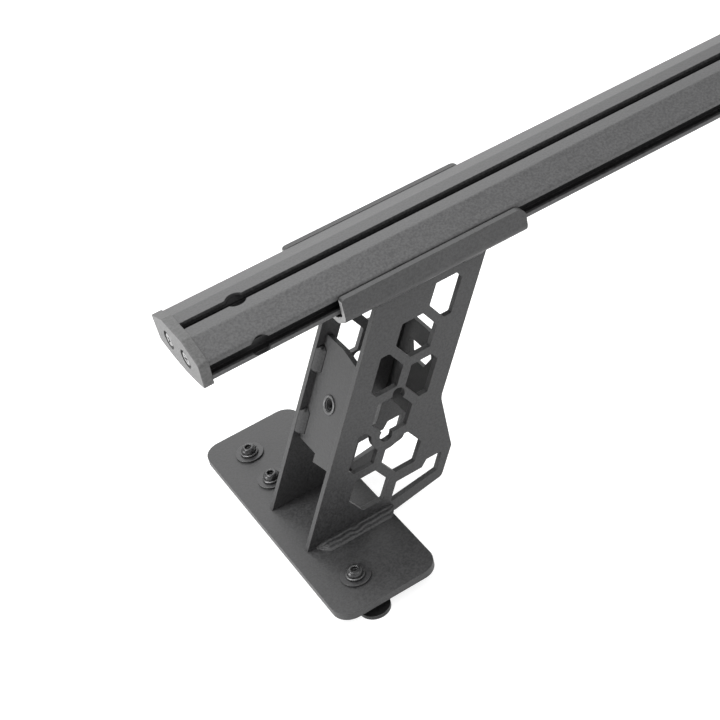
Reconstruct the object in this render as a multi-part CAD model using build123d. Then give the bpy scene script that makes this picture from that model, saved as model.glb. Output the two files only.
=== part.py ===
from build123d import *
import math
import os

# Truck bed crossbar, in millimetres, +Z up.
# X runs along the bar, across the truck, and Y along the truck, with the viewer's side at -Y.
# The origin is the middle of the footprint, on the plane that the rail nuts stand on.

# Crossbar extrusion
bar_length = 1508.0
bar_width = 79.0
bar_height = 32.5
bar_flat_width = 34.0
bar_wall_height = 16.1
bar_corner_radius = 2.0
bar_shoulder_radius = 5.0
bar_skin = 2.6
bar_offset = -11.9

# T-slots
slot_mouth = 8.7
slot_lip = 2.6
slot_depth = 6.6
slot_width = 16.8
side_slot_width = 13.0
ridge_height = 0.9
ridge_width = 1.6
drop_in_diameter = 16.4
drop_in_depth = 3.2
drop_in_top_reach = 43.8
drop_in_side_reach = 40.1

# Screw ports of the extrusion, and the end cap with its screws
port_spacing = 29.0
port_wall = 2.4
cap_thickness = 8.0
cap_proud = 1.2
cap_taper = 2.5
cap_chin = 4.5
cap_corner_radius = 2.5
cap_edge_radius = 0.8
cap_recess_diameter = 15.0
cap_recess_depth = 3.6
screw_diameter = 6.0
screw_head_diameter = 12.0
screw_head_height = 3.3
screw_head_round = 1.5
screw_length = 25.0
screw_turn = 20.0
screw_slot_width = 1.5
screw_slot_length = 7.0
screw_slot_depth = 1.8

# Riser: base plate
stand_inset = 23.5
base_width = 88.7
base_length = 245.6
base_thickness = 6.35
base_corner_radius = 15.0

# Riser: side plates
plate_thickness = 4.6
plate_span = 64.8
stand_height = 187.8
lean = 29.4
plate_foot_inset = 13.9
plate_top_width = 97.0
waist_reach = 154.5
waist_height = 79.0
waist_radius = 16.0
heel_height = 26.7
heel_radius = 1.5
toe_radius = 6.0
belly_start = 95.0
belly_rise = 10.0

# Honeycomb cut-outs of the side plates
cell_flats = 31.8
cell_rib = 7.6
cell_corner_radius = 1.5
cell_least_share = 0.5
key_cell_reach = 111.1
key_cell_height = 85.5
key_lobe_radius = 5.5
front_margin = 19.6
rear_margin = 17.3
top_margin = 7.0
foot_slot_margin = 8.9
foot_slot_height = 20.4
foot_slot_step = 5.5
foot_slot_step_inset = 26.7
foot_slot_front_inset = 53.5
foot_slot_floor = 3.4
foot_slot_rear_run = 8.7

# Riser: web plate and its threaded insert
web_thickness = 5.0
web_recess = 7.5
web_top = 137.3
web_bottom = 57.5
web_step = 6.7
web_step_place = 1.5
web_taper = 4.8
insert_height = 96.0
insert_thread = 8.0
insert_bore = 6.8
insert_body_diameter = 11.0
insert_flange_diameter = 13.8
insert_flange_thickness = 1.2
insert_length = 17.0
insert_bulge_diameter = 14.5
insert_bulge_length = 4.0
insert_bulge_taper = 1.0
insert_chamfer = 0.6

# Riser: rear web plate near the inboard edges, with a window in it
rear_web_recess = 8.9
rear_web_top = 118.8
rear_web_bottom = 56.0
window_low = 93.8
window_height = 13.4
window_width = 33.2
window_foot_width = 20.8

# Riser: saddle channel
saddle_sheet = 5.0
saddle_length = 158.5
saddle_reach = 88.0
saddle_floor_width = 62.0
saddle_shoulder_angle = 30.0
saddle_lip_height = 23.7
saddle_bend_radius = 3.0
saddle_inner_corner_radius = 8.0
saddle_outer_corner_radius = 3.0
saddle_side_clearance = 1.5

# Welds
weld_crown = 0.7
base_weld_reach = 10.0
base_weld_height = 5.0
base_weld_inset = 8.0
base_weld_passes = 3
saddle_weld_leg = 3.5
saddle_weld_outer_length = 30.5
saddle_weld_inner_length = 19.0
saddle_weld_inset = 3.7
web_weld_leg = 6.3
web_weld_length = 21.0
web_weld_low = 60.0
web_weld_high = 108.0

# Base bolts, their washers and the rail nuts
bolt_diameter = 8.0
bolt_length = 18.0
bolt_head_diameter = 14.0
bolt_head_height = 4.4
bolt_head_slope_height = 3.1
bolt_head_slope_width = 2.1
bolt_socket = 5.0
bolt_socket_depth = 2.8
bolt_reach = 31.5
bolt_end_inset = 31.8
washer_weld_gap = 6.9
flat_washer_diameter = 24.0
flat_washer_thickness = 1.6
lock_washer_diameter = 14.8
lock_washer_thickness = 2.0
lock_washer_gap = 1.6
rail_lip = 6.0
rail_nut_thickness = 3.2
rail_nut_width = 25.4
rail_nut_overhang = 3.8
rail_nut_length = 72.0
rail_neck_width = 13.0
rail_neck_margin = 9.0
rail_neck_drop = 0.5

# Clamps that hold the saddle to the bar's bottom slot
clamp_spacing = 100.0
t_head_thickness = 4.5
t_head_length = 22.0
t_head_corner_radius = 2.0
clamp_washer_diameter = 17.0
clamp_washer_thickness = 1.6
nut_flats = 13.0
nut_height = 8.0
nut_flange_diameter = 17.9
nut_flange_height = 1.8
thread_overhang = 3.0

# Fits
thread_clearance = 0.05
bolt_clearance = 0.5
slide_clearance = 0.3
insert_clearance = 0.05

# Levels and places that follow from the sizes above
base_bottom = rail_nut_thickness + rail_lip
base_top = base_bottom + base_thickness
saddle_bottom = base_top + stand_height
saddle_floor = saddle_bottom + saddle_sheet
bar_bottom = saddle_floor + slide_clearance
bar_centre = bar_bottom + bar_height / 2
overall_length = bar_length + 2 * cap_thickness
stand_edge = -overall_length / 2 + stand_inset
plate_outer = plate_span / 2
plate_inner = plate_outer - plate_thickness
saddle_inner = bar_width / 2 + saddle_side_clearance
lean_run = math.tan(math.radians(lean))
bolt_hole = bolt_diameter + 2 * bolt_clearance
thread_hole = bolt_diameter + 2 * thread_clearance
pair_end = base_length / 2 - bolt_end_inset
inner_bolt = bar_offset + plate_outer + base_weld_reach + washer_weld_gap + flat_washer_diameter / 2
bolt_places = [-pair_end, pair_end, inner_bolt]
rail_nut_end = base_length / 2 + rail_nut_overhang
clamp_middle = stand_edge + saddle_reach + saddle_length / 2
clamp_places = [clamp_middle - clamp_spacing / 2, clamp_middle + clamp_spacing / 2]
washer_top = base_top + flat_washer_thickness
bolt_seat = washer_top + lock_washer_thickness
top_front = plate_foot_inset + lean_run * stand_height
top_rear = top_front + plate_top_width
shoulder_rise = math.tan(math.radians(saddle_shoulder_angle))

# Cutting shapes reach this far past the faces that they cut through
past = 1.0

# Builders shared by several pieces


def disc(radius, x, y, low, high):
    """Upright cylinder between two heights."""
    return Pos(x, y, low) * extrude(Circle(radius), high - low)


def ring(outer, inner, x, y, low, high):
    """Upright tube between two heights."""
    return Pos(x, y, low) * extrude(Circle(outer) - Circle(inner), high - low)


def upright(face, y_low, y_high):
    """Extrude a face drawn in X and Z along Y, between two places."""
    plane = Plane(origin=(0, y_high, 0), x_dir=(1, 0, 0), z_dir=(0, -1, 0))
    return extrude(plane * face, y_high - y_low)


def along_bar(face, x_low, x_high):
    """Extrude a face drawn in Y and Z along X, between two places."""
    plane = Plane(origin=(x_low, 0, 0), x_dir=(0, 1, 0), z_dir=(1, 0, 0))
    return extrude(plane * face, x_high - x_low)


def nearest_corner(face, x, z):
    """The corner of a flat face that lies closest to a point."""
    return face.vertices().sort_by_distance((x, z, 0))[0]


def soften(face, radius):
    """Round the outward corners of a flat face, however short its sides are."""
    return offset(offset(face, -radius), radius, kind=Kind.ARC)


def mirrored_points(points):
    """A closed outline from its points on one side of the upright middle line."""
    return points + [(-a, b) for a, b in reversed(points) if a != 0]


# Crossbar


def bar_outline():
    """Outer section of the bar about its centre: flat top and bottom, sloped shoulders, short walls."""
    half_width = bar_width / 2
    flat = bar_flat_width / 2
    corners = [
        (flat, bar_height / 2),
        (half_width, bar_wall_height / 2),
        (half_width, -bar_wall_height / 2),
        (flat, -bar_height / 2),
    ]
    face = make_face(Polyline(mirrored_points(corners), close=True))
    shoulders = [v for v in face.vertices() if abs(abs(v.X) - flat) < 0.01]
    face = fillet(shoulders, bar_shoulder_radius)
    walls = [v for v in face.vertices() if abs(abs(v.X) - half_width) < 0.01]
    return fillet(walls, bar_corner_radius)


def slot_section(width, reach):
    """Section of one T-slot that opens upwards, with its mouth at the given height above the centre."""
    lip_bottom = reach - slot_lip
    floor = lip_bottom - slot_depth
    mouth = Pos(0, (reach + lip_bottom) / 2) * Rectangle(slot_mouth, slot_lip + 2 * past)
    cavity = Pos(0, (lip_bottom + floor) / 2) * Rectangle(width, slot_depth)
    ridge = Pos(0, floor + ridge_height / 2) * Rectangle(ridge_width, ridge_height)
    return mouth + cavity - ridge


def chamber_sections():
    """Closed chambers of the section: one between the top and bottom slots, and one at each side."""
    slot_reach = slot_width / 2 + bar_skin
    slot_floor = bar_height / 2 - slot_lip - slot_depth
    back = bar_width / 2 - slot_lip - slot_depth - bar_skin
    flat = bar_flat_width / 2
    slope = (bar_height - bar_wall_height) / (bar_width - bar_flat_width)
    top = bar_height / 2 - bar_skin
    drop = top - slope * (back - flat) - bar_skin * slope / 2
    side = [(slot_reach, top), (flat, top), (back, drop), (back, -drop), (flat, -top), (slot_reach, -top)]
    right = make_face(Polyline(side, close=True))
    boss = Pos(port_spacing / 2, 0) * Circle(screw_diameter / 2 + port_wall)
    right = right - boss
    middle = Rectangle(slot_width, 2 * (slot_floor - bar_skin))
    return right + mirror(right, about=Plane.YZ) + middle


def crossbar_extrusion():
    """The bar: extruded section with four T-slots, drop-in holes near both ends, and screw ports."""
    section = bar_outline()
    top_slot = slot_section(slot_width, bar_height / 2)
    side_slot = slot_section(side_slot_width, bar_width / 2)
    section = section - top_slot - Rot(0, 0, 180) * top_slot
    section = section - Rot(0, 0, 90) * side_slot - Rot(0, 0, -90) * side_slot
    section = section - chamber_sections()
    port = Circle(screw_diameter / 2 + thread_clearance)
    section = section - Pos(port_spacing / 2, 0) * port - Pos(-port_spacing / 2, 0) * port
    bar = along_bar(Pos(bar_offset, bar_centre) * section, -bar_length / 2, bar_length / 2)
    hole = drop_in_diameter / 2
    top = bar_centre + bar_height / 2
    wall = bar_width / 2
    for end in (-1, 1):
        x_top = end * (bar_length / 2 - drop_in_top_reach)
        bar = bar - disc(hole, x_top, bar_offset, top - drop_in_depth, top + past)
        x_side = end * (bar_length / 2 - drop_in_side_reach)
        for side in (-1, 1):
            face_y = bar_offset + side * wall
            start = Plane(origin=(x_side, face_y + side * past, bar_centre), z_dir=(0, -side, 0))
            bar = bar - extrude(start * Circle(hole), drop_in_depth + past)
    return bar


# End caps


def cap_outline():
    """Face of the end cap: it follows the bar's shoulders and stands proud, with a rounded belly."""
    flat = bar_flat_width / 2
    side = bar_width / 2 + cap_proud
    shoulder = bar_wall_height / 2 + cap_proud / 2
    chin = bar_height / 2 + cap_proud
    top = Polyline(
        (-side + cap_taper, -chin + cap_chin),
        (-side, shoulder),
        (-flat, chin),
        (flat, chin),
        (side, shoulder),
        (side - cap_taper, -chin + cap_chin),
    )
    corner = side - cap_taper
    level = cap_chin - chin
    belly = ThreePointArc((corner, level), (0, -chin), (-corner, level))
    face = make_face(top + belly)
    rounded = [v for v in face.vertices() if abs(v.X) > flat + 1]
    return fillet(rounded, cap_corner_radius)


def left_end_cap():
    """Moulded cap with two round recesses for its screws."""
    outer_face = -overall_length / 2
    inner_face = -bar_length / 2
    cap = along_bar(Pos(bar_offset, bar_centre) * cap_outline(), outer_face, inner_face)
    rim = cap.faces().sort_by(Axis.X)[0].outer_wire().edges()
    cap = fillet(rim, cap_edge_radius)
    for side in (-1, 1):
        y = bar_offset + side * port_spacing / 2
        recess = Pos(y, bar_centre) * Circle(cap_recess_diameter / 2)
        hole = Pos(y, bar_centre) * Circle(screw_diameter / 2 + bolt_clearance)
        cap = cap - along_bar(recess, outer_face - past, outer_face + cap_recess_depth)
        cap = cap - along_bar(hole, outer_face, inner_face + past)
    return cap


def left_cap_screws():
    """Two cross-recess pan-head screws, one in each port."""
    seat = -overall_length / 2 + cap_recess_depth
    screws = []
    for side in (-1, 1):
        y = bar_offset + side * port_spacing / 2
        head_face = Pos(y, bar_centre) * Circle(screw_head_diameter / 2)
        head = along_bar(head_face, seat - screw_head_height, seat)
        rim = head.faces().sort_by(Axis.X)[0].edges()
        head = fillet(rim, screw_head_round)
        shank = along_bar(Pos(y, bar_centre) * Circle(screw_diameter / 2), seat, seat + screw_length)
        cross = Rectangle(screw_slot_width, screw_slot_length)
        cross = cross + Rectangle(screw_slot_length, screw_slot_width)
        cross = Pos(y, bar_centre) * Rot(0, 0, screw_turn * side) * cross
        face = seat - screw_head_height
        screws.append(head + shank - along_bar(cross, face - past, face + screw_slot_depth))
    return screws


# Riser, left side; drawn from the base plate's outboard edge and its top face


def side_plate_outline():
    """Outline of a side plate: leaning front and rear edges, a waist, a heel and a hook round the base."""
    waist_top = top_rear - lean_run * (stand_height - waist_height)
    belly_slope = math.tan(math.radians(belly_rise))
    # The heel's lower edge leans as the front does, and meets the rising belly edge at the toe.
    heel_foot = waist_reach - lean_run * heel_height
    toe_run = heel_foot - lean_run * (base_thickness + belly_slope * belly_start)
    toe = toe_run / (1 - lean_run * belly_slope)
    toe_level = -base_thickness + belly_slope * (toe - belly_start)
    waist_level = waist_height - (waist_top - waist_reach) / lean_run
    corners = [
        (plate_foot_inset, 0),
        (top_front, stand_height),
        (top_rear, stand_height),
        (waist_reach, waist_level),
        (waist_reach, heel_height),
        (toe, toe_level),
        (belly_start, -base_thickness),
        (base_width, -base_thickness),
        (base_width, 0),
    ]
    face = make_face(Polyline(corners, close=True))
    face = fillet(nearest_corner(face, waist_reach, waist_level), waist_radius)
    face = fillet(nearest_corner(face, toe, toe_level), toe_radius)
    return fillet(nearest_corner(face, waist_reach, heel_height), heel_radius)


def cell_field():
    """Area of a side plate in which the cells may lie, trimmed parallel to its leaning edges."""
    high = stand_height - top_margin
    low = cell_rib
    right_edge = waist_reach - rear_margin
    right_level = stand_height - (top_rear - rear_margin - right_edge) / lean_run
    points = [
        (plate_foot_inset + front_margin + lean_run * low, low),
        (plate_foot_inset + front_margin + lean_run * high, high),
        (top_rear - rear_margin - lean_run * top_margin, high),
        (right_edge, right_level),
        (right_edge, low),
    ]
    return make_face(Polyline(points, close=True))


def foot_slot():
    """Stepped slot along the plate's belly and heel."""
    belly_slope = math.tan(math.radians(belly_rise))
    right = waist_reach - foot_slot_margin
    front = waist_reach - foot_slot_front_inset
    step = waist_reach - foot_slot_step_inset
    upper = foot_slot_height + foot_slot_step
    lower_right = right - foot_slot_rear_run
    floor_right = foot_slot_floor + belly_slope * (lower_right - front)
    points = [
        (front - lean_run * (foot_slot_height - foot_slot_floor), foot_slot_floor),
        (front, foot_slot_height),
        (step - foot_slot_step / 2, foot_slot_height),
        (step + foot_slot_step / 2, upper),
        (right, upper),
        (lower_right, floor_right),
    ]
    return make_face(Polyline(points, close=True))


def honeycomb():
    """All cut-outs of a side plate: hexagons on one lattice, the lobed cell and the stepped foot slot."""
    pitch = cell_flats + cell_rib
    column = pitch * math.cos(math.radians(30))
    corner_drop = cell_flats / 2
    corner_run = cell_flats / 2 * math.tan(math.radians(30))
    cell = RegularPolygon(cell_flats / 2, 6, major_radius=False)
    full = cell.area
    field = cell_field()
    lobe_low = (key_cell_reach - corner_run, key_cell_height - corner_drop)
    lobe_high = (key_cell_reach + corner_run, key_cell_height + corner_drop)
    # The rib round the lower lobe keeps its width, so the cell below it loses that corner.
    lobe_rib = Pos(*lobe_low) * Circle(key_lobe_radius + cell_rib)
    cuts = []
    for i in range(-2, 4):
        for j in range(-4, 5):
            x = key_cell_reach + column * i
            z = key_cell_height + pitch * (j + i / 2)
            cut = field & (Pos(x, z) * cell)
            if not cut or cut.area < cell_least_share * full:
                continue
            key = i == 0 and j == 0
            if not key:
                cut = cut - lobe_rib
            cut = soften(cut, cell_corner_radius)
            if key:
                lobe = Circle(key_lobe_radius)
                cut = cut + Pos(*lobe_low) * lobe + Pos(*lobe_high) * lobe
            cuts.append(cut)
    cuts.append(soften(foot_slot(), cell_corner_radius))
    return cuts


def side_plate(side):
    """One side plate, at the front (-1) or the rear (1) of the riser."""
    face = side_plate_outline()
    for cut in honeycomb():
        face = face - cut
    face = Pos(stand_edge, base_top) * face
    low = min(side * plate_inner, side * plate_outer)
    return upright(face, bar_offset + low, bar_offset + low + plate_thickness)


def web_plane():
    """Plane of the web's front face: local X runs up along the lean, local Y across, Z out of the face."""
    lean_angle = math.radians(lean)
    origin = (stand_edge + plate_foot_inset + web_recess, bar_offset, base_top)
    up = (math.sin(lean_angle), 0, math.cos(lean_angle))
    out = (-math.cos(lean_angle), 0, math.sin(lean_angle))
    return Plane(origin=origin, x_dir=up, z_dir=out)


def up_lean(height):
    """Distance along the leaning web for a height above the base plate."""
    return height / math.cos(math.radians(lean))


def web_plate():
    """Leaning plate between the side plates, with a stepped lower edge and a hole for the insert."""
    low = web_bottom - web_step
    corners = [
        (up_lean(web_top), web_step_place),
        (up_lean(web_top), plate_inner),
        (up_lean(web_bottom), plate_inner),
        (up_lean(web_bottom), web_step_place),
        (up_lean(low), web_step_place),
        (up_lean(low + web_taper), -plate_inner),
        (up_lean(web_top - web_taper), -plate_inner),
    ]
    face = make_face(Polyline(corners, close=True))
    hole = Circle(insert_body_diameter / 2 + insert_clearance)
    face = face - Pos(up_lean(insert_height), 0) * hole
    return extrude(web_plane() * face, -web_thickness)


def rear_web_plate():
    """Plate between the side plates near their inboard edges, parallel to the front one, with its window."""
    top_face = top_rear - lean_run * stand_height - rear_web_recess
    forward = (top_face - plate_foot_inset - web_recess) * math.cos(math.radians(lean))
    low = up_lean(rear_web_bottom)
    # Both webs' local places are measured from where their faces meet the base plate's level.
    slip = (top_face - plate_foot_inset - web_recess) * math.sin(math.radians(lean))
    face = Pos((low + up_lean(rear_web_top)) / 2, 0) * Rectangle(up_lean(rear_web_top) - low, 2 * plate_inner)
    foot = window_foot_width / 2
    wide = window_width / 2
    corner_rise = (wide - foot) / math.tan(math.radians(30))
    head = wide - (window_height - corner_rise) * math.tan(math.radians(30))
    start = up_lean(window_low)
    half = [
        (start, foot),
        (start + corner_rise, wide),
        (start + window_height, head),
    ]
    outline = half + [(a, -b) for a, b in reversed(half)]
    face = face - soften(make_face(Polyline(outline, close=True)), cell_corner_radius)
    return extrude(web_plane() * (Pos(slip, 0, -forward) * face), -web_thickness)


def threaded_insert():
    """Blind-rivet nut: flange on the web's front face, bulge behind it, and a thread bore right through."""
    body = insert_body_diameter / 2
    bulge = insert_bulge_diameter / 2
    back = -web_thickness
    tail = -insert_length + insert_flange_thickness
    bore = insert_bore / 2
    mouth = insert_thread / 2 + insert_chamfer
    profile = [
        (bore, insert_flange_thickness - (mouth - bore)),
        (mouth, insert_flange_thickness),
        (insert_flange_diameter / 2, insert_flange_thickness),
        (insert_flange_diameter / 2, 0),
        (body, 0),
        (body, back),
        (bulge, back - insert_bulge_taper),
        (bulge, back - insert_bulge_length + insert_bulge_taper),
        (body, back - insert_bulge_length),
        (body, tail),
        (bore, tail),
    ]
    points = [(r, 0, z) for r, z in profile]
    solid = revolve(make_face(Polyline(points, close=True)), Axis.Z)
    return web_plane() * (Pos(up_lean(insert_height), 0, 0) * solid)


def base_plate():
    """Flat plate with rounded corners and one clearance hole per base bolt."""
    face = RectangleRounded(base_width, base_length, base_corner_radius)
    for y in bolt_places:
        face = face - Pos(bolt_reach - base_width / 2, y) * Circle(bolt_hole / 2)
    return Pos(stand_edge + base_width / 2, 0, base_bottom) * extrude(face, base_thickness)


def saddle_section():
    """Section of the saddle: flat floor, rising shoulders and upright lips, folded from one sheet."""
    lip_inner = saddle_inner
    lip_outer = saddle_inner + saddle_sheet
    floor_outer = saddle_floor_width / 2
    floor_inner = floor_outer - saddle_sheet * math.tan(math.radians(saddle_shoulder_angle / 2))
    high = saddle_floor + saddle_lip_height
    bend_outer = saddle_bottom + (lip_outer - floor_outer) * shoulder_rise
    bend_inner = saddle_floor + (lip_inner - floor_inner) * shoulder_rise
    corners = [
        (floor_outer, saddle_bottom),
        (lip_outer, bend_outer),
        (lip_outer, high),
        (lip_inner, high),
        (lip_inner, bend_inner),
        (floor_inner, saddle_floor),
    ]
    face = make_face(Polyline(mirrored_points(corners), close=True))
    for side in (-1, 1):
        outside = [(floor_outer, saddle_bottom), (lip_outer, bend_outer)]
        inside = [(floor_inner, saddle_floor), (lip_inner, bend_inner)]
        for y, z in outside:
            face = fillet(nearest_corner(face, side * y, z), saddle_bend_radius + saddle_sheet)
        for y, z in inside:
            face = fillet(nearest_corner(face, side * y, z), saddle_bend_radius)
    return face


def saddle_channel():
    """Folded channel that the bar lies in, with rounded lip corners and two clamp holes in its floor."""
    start = stand_edge + saddle_reach
    end = start + saddle_length
    channel = along_bar(Pos(bar_offset, 0) * saddle_section(), start, end)
    high = saddle_floor + saddle_lip_height
    for x, radius in ((end, saddle_inner_corner_radius), (start, saddle_outer_corner_radius)):
        lip_edges = channel.edges().filter_by(Axis.Y).filter_by_position(Axis.Z, high - 0.01, high + 0.01)
        channel = fillet(lip_edges.filter_by_position(Axis.X, x - 0.01, x + 0.01), radius)
    for x in clamp_places:
        channel = channel - disc(bolt_hole / 2, x, bar_offset, saddle_bottom - past, saddle_floor + past)
    return channel


# Welds


def base_weld_section(side):
    """Passes side by side in the corner of the base and a side plate, each with its own crown."""
    reach = Vector(side * base_weld_reach, 0)
    rise = Vector(0, base_weld_height)
    step = (rise - reach) * (1 / base_weld_passes)
    outward = Vector(side * base_weld_height, base_weld_reach).normalized() * weld_crown
    edges = Polyline((0, base_weld_height), (0, 0), (side * base_weld_reach, 0))
    for i in range(base_weld_passes):
        start = reach + step * i
        edges = edges + ThreePointArc(start, start + step * 0.5 + outward, start + step)
    return make_face(edges)


def base_welds():
    """One bead along the outer foot of each side plate, as far as the base plate's inner edge."""
    start = stand_edge + plate_foot_inset + base_weld_inset
    end = stand_edge + base_width
    beads = []
    for side in (-1, 1):
        corner = Pos(bar_offset + side * plate_outer, base_top)
        beads.append(along_bar(corner * base_weld_section(side), start, end))
    return beads


def saddle_weld_section(side):
    """Bead in the corner between a side plate's outer face and the saddle's rising shoulder."""
    leg = saddle_weld_leg
    shoulder = math.radians(saddle_shoulder_angle)
    level = saddle_bottom + (plate_outer - saddle_floor_width / 2) * shoulder_rise
    corner = (side * plate_outer, level)
    drop = (side * plate_outer, level - leg)
    reach = (side * (plate_outer + leg * math.cos(shoulder)), level + leg * math.sin(shoulder))
    # The crown's middle lies on the line that halves the corner.
    half_turn = shoulder / 2 - math.pi / 4
    bulge = leg * math.sin(math.pi / 4 - shoulder / 2) + weld_crown
    crown = (side * (plate_outer + bulge * math.cos(half_turn)), level + bulge * math.sin(half_turn))
    return make_face(Polyline(drop, corner, reach) + ThreePointArc(reach, crown, drop))


def saddle_welds():
    """Two short beads under the saddle on the outside of each side plate."""
    front = stand_edge + top_front
    rear = stand_edge + top_rear - saddle_weld_inset
    beads = []
    for side in (-1, 1):
        section = Pos(bar_offset, 0) * saddle_weld_section(side)
        beads.append(along_bar(section, front, front + saddle_weld_outer_length))
        beads.append(along_bar(section, rear - saddle_weld_inner_length, rear))
    return beads


def web_welds():
    """Short beads in the corners between the web's front face and both side plates."""
    plane = web_plane()
    beads = []
    for side in (-1, 1):
        for low in (web_weld_low, web_weld_high):
            leg = web_weld_leg
            y = side * plate_inner
            bulge = leg / 2 + weld_crown / math.sqrt(2)
            # Local X is across and local Y is out of the web; the bead is drawn across its length.
            start = plane.from_local_coords(Vector(up_lean(low), 0, 0))
            across = Plane(origin=start, x_dir=plane.y_dir, z_dir=plane.x_dir)
            out = 1 if across.y_dir.dot(plane.z_dir) > 0 else -1
            reach = (y - side * leg, 0)
            rise = (y, leg * out)
            crown = ThreePointArc(reach, (y - side * bulge, bulge * out), rise)
            face = make_face(Polyline(rise, (y, 0), reach) + crown)
            beads.append(extrude(across * face, up_lean(web_weld_length)))
    return beads


# Fasteners


def base_bolts():
    """Button-head bolts with hexagon sockets, one in each hole of the base plate."""
    bolts = []
    for y in bolt_places:
        x = stand_edge + bolt_reach
        head = disc(bolt_head_diameter / 2, x, y, bolt_seat, bolt_seat + bolt_head_height)
        rim = head.faces().sort_by(Axis.Z)[-1].edges()
        head = chamfer(rim, bolt_head_slope_height, bolt_head_slope_width)
        shank = disc(bolt_diameter / 2, x, y, bolt_seat - bolt_length, bolt_seat)
        socket = extrude(RegularPolygon(bolt_socket / 2, 6, major_radius=False), bolt_socket_depth + past)
        top = bolt_seat + bolt_head_height - bolt_socket_depth
        bolts.append(head + shank - Pos(x, y, top) * socket)
    return bolts


def flat_washers():
    """Large washers on the base plate."""
    radius = flat_washer_diameter / 2
    x = stand_edge + bolt_reach
    return [ring(radius, bolt_hole / 2, x, y, base_top, washer_top) for y in bolt_places]


def lock_washers():
    """Split spring washers between the large washers and the bolt heads."""
    washers = []
    x = stand_edge + bolt_reach
    for y in bolt_places:
        washer = ring(lock_washer_diameter / 2, bolt_hole / 2, x, y, washer_top, bolt_seat)
        gap = Box(lock_washer_diameter, lock_washer_gap, 2 * lock_washer_thickness)
        washers.append(washer - Pos(x + lock_washer_diameter / 2, y, bolt_seat) * gap)
    return washers


def rail_nut(low_y, high_y, holes):
    """Slide plate with rounded ends and a raised neck, threaded for the base bolts above it."""
    x = stand_edge + bolt_reach
    length = high_y - low_y
    middle = (low_y + high_y) / 2
    plate = SlotOverall(length, rail_nut_width, rotation=90)
    neck_low = min(holes) - rail_neck_width / 2 - rail_neck_margin
    neck_high = max(holes) + rail_neck_width / 2 + rail_neck_margin
    neck_top = base_bottom - rail_neck_drop
    neck = SlotOverall(neck_high - neck_low, rail_neck_width, rotation=90)
    nut = Pos(x, middle, 0) * extrude(plate, rail_nut_thickness)
    neck = Pos(x, (neck_low + neck_high) / 2, 0) * extrude(neck, neck_top)
    nut = nut + neck
    for y in holes:
        nut = nut - disc(thread_hole / 2, x, y, -past, neck_top + past)
    return nut


def rail_nut_front():
    """Rail nut under the single bolt, its round end just past the base plate."""
    return rail_nut(-rail_nut_end, -rail_nut_end + rail_nut_length, [-pair_end])


def rail_nut_rear():
    """Longer rail nut under the pair of bolts."""
    reach = rail_nut_length + pair_end - inner_bolt
    return rail_nut(rail_nut_end - reach, rail_nut_end, [inner_bolt, pair_end])


def clamp_bolt_end():
    """Level of the clamp bolts' lower ends, below the washer and the nut."""
    return saddle_bottom - clamp_washer_thickness - nut_height - thread_overhang


def clamp_t_bolts():
    """T-bolts whose heads run in the bar's bottom slot."""
    bolts = []
    width = slot_width - 2 * slide_clearance
    low = bar_bottom + slot_lip + slide_clearance
    for x in clamp_places:
        head = extrude(RectangleRounded(t_head_length, width, t_head_corner_radius), t_head_thickness)
        shank = disc(bolt_diameter / 2, x, bar_offset, clamp_bolt_end(), low)
        bolts.append(Pos(x, bar_offset, low) * head + shank)
    return bolts


def clamp_washers():
    """Washers under the saddle's floor."""
    low = saddle_bottom - clamp_washer_thickness
    radius = clamp_washer_diameter / 2
    return [ring(radius, bolt_hole / 2, x, bar_offset, low, saddle_bottom) for x in clamp_places]


def clamp_nuts():
    """Hexagon nuts with flanges, screwed up against the washers."""
    nuts = []
    high = saddle_bottom - clamp_washer_thickness
    for x in clamp_places:
        hexagon = extrude(RegularPolygon(nut_flats / 2, 6, major_radius=False), nut_height)
        hexagon = Pos(x, bar_offset, high - nut_height) * hexagon
        flange = disc(nut_flange_diameter / 2, x, bar_offset, high - nut_flange_height, high)
        bore = disc(thread_hole / 2, x, bar_offset, high - nut_height - past, high + past)
        nuts.append(hexagon + flange - bore)
    return nuts


# Writing the pieces


def flatten(shape):
    """All solids of a piece or of a list of pieces."""
    if isinstance(shape, list):
        return [solid for item in shape for solid in item.solids()]
    return list(shape.solids())


def write(node, shape):
    """Write one node: a single solid, or a group of separate solids."""
    solids = flatten(shape)
    export_step(solids[0] if len(solids) == 1 else Compound(children=solids), f"parts/{node}.step")


def write_pair(node, shape):
    """Write a piece of the left side and its mirror image on the right side."""
    solids = flatten(shape)
    write(f"left_{node}", solids)
    write(f"right_{node}", [mirror(solid, about=Plane.YZ) for solid in solids])


os.makedirs("parts", exist_ok=True)
write("crossbar_extrusion", crossbar_extrusion())
write_pair("end_cap", left_end_cap())
write_pair("cap_screws", left_cap_screws())
write_pair("saddle_channel", saddle_channel())
write_pair("side_plate_front", side_plate(-1))
write_pair("side_plate_rear", side_plate(1))
write_pair("web_plate", web_plate())
write_pair("rear_web_plate", rear_web_plate())
write_pair("threaded_insert", threaded_insert())
write_pair("base_plate", base_plate())
write_pair("base_welds", base_welds())
write_pair("saddle_welds", saddle_welds())
write_pair("web_welds", web_welds())
write_pair("base_bolts", base_bolts())
write_pair("flat_washers", flat_washers())
write_pair("lock_washers", lock_washers())
write_pair("rail_nut_front", rail_nut_front())
write_pair("rail_nut_rear", rail_nut_rear())
write_pair("clamp_t_bolts", clamp_t_bolts())
write_pair("clamp_washers", clamp_washers())
write_pair("clamp_nuts", clamp_nuts())
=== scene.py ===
import math

import bmesh
import bpy
from mathutils import Matrix, Vector, noise


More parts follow.
